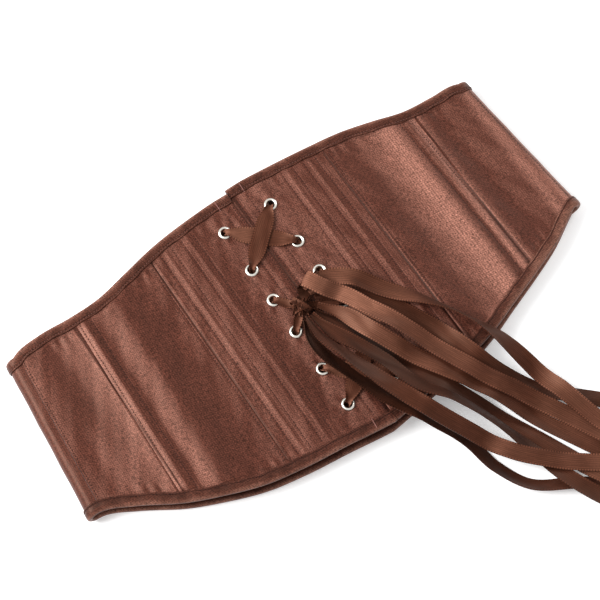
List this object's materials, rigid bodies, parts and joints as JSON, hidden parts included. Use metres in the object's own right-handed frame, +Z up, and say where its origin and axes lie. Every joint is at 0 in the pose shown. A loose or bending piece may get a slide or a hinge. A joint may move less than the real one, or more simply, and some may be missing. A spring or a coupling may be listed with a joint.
{
  "type": "corset belt",
  "caption": "Boned satin waist belt lying flat, laced up the middle with a flat ribbon whose tied ends trail off to one side.",
  "frame": {"origin": "on the surface the belt lies on, under the middle of its flattened length and height", "axes": "+Z up from the surface; +Y towards the belt's top edge; +X along the belt's flattened width, to the right as seen from above with the top edge away"},
  "size_m": [0.4142, 0.35, 0.0302],
  "materials": {
    "satin": "soft satin weave, reddish brown",
    "edging": "satin bias tape, stitched",
    "ribbon": "fine ribbed satin ribbon",
    "silver": "polished silver-coloured metal"
  },
  "bodies": {
    "root": {"placket_left": "satin", "placket_right": "satin", "front_panel_left": "satin", "front_panel_right": "satin", "end_panel_left": "satin", "end_panel_right": "satin", "side_strip_left": "satin", "side_strip_right": "satin", "back_panel_left": "satin", "back_panel_middle": "satin", "back_panel_right": "satin", "binding_top": "edging", "binding_bottom": "edging", "eyelet_left_1": "silver", "eyelet_left_2": "silver", "eyelet_left_3": "silver", "eyelet_left_4": "silver", "eyelet_left_5": "silver", "eyelet_left_6": "silver", "eyelet_right_1": "silver", "eyelet_right_2": "silver", "eyelet_right_3": "silver", "eyelet_right_4": "silver", "eyelet_right_5": "silver", "eyelet_right_6": "silver", "lace_top": "ribbon", "lace_bottom": "ribbon", "knot": "ribbon", "ribbon_1": "ribbon", "ribbon_2": "ribbon", "ribbon_3": "ribbon", "ribbon_4": "ribbon", "ribbon_5": "ribbon", "ribbon_6": "ribbon", "ribbon_7": "ribbon", "ribbon_8": "ribbon"}
  },
  "joints": []
}
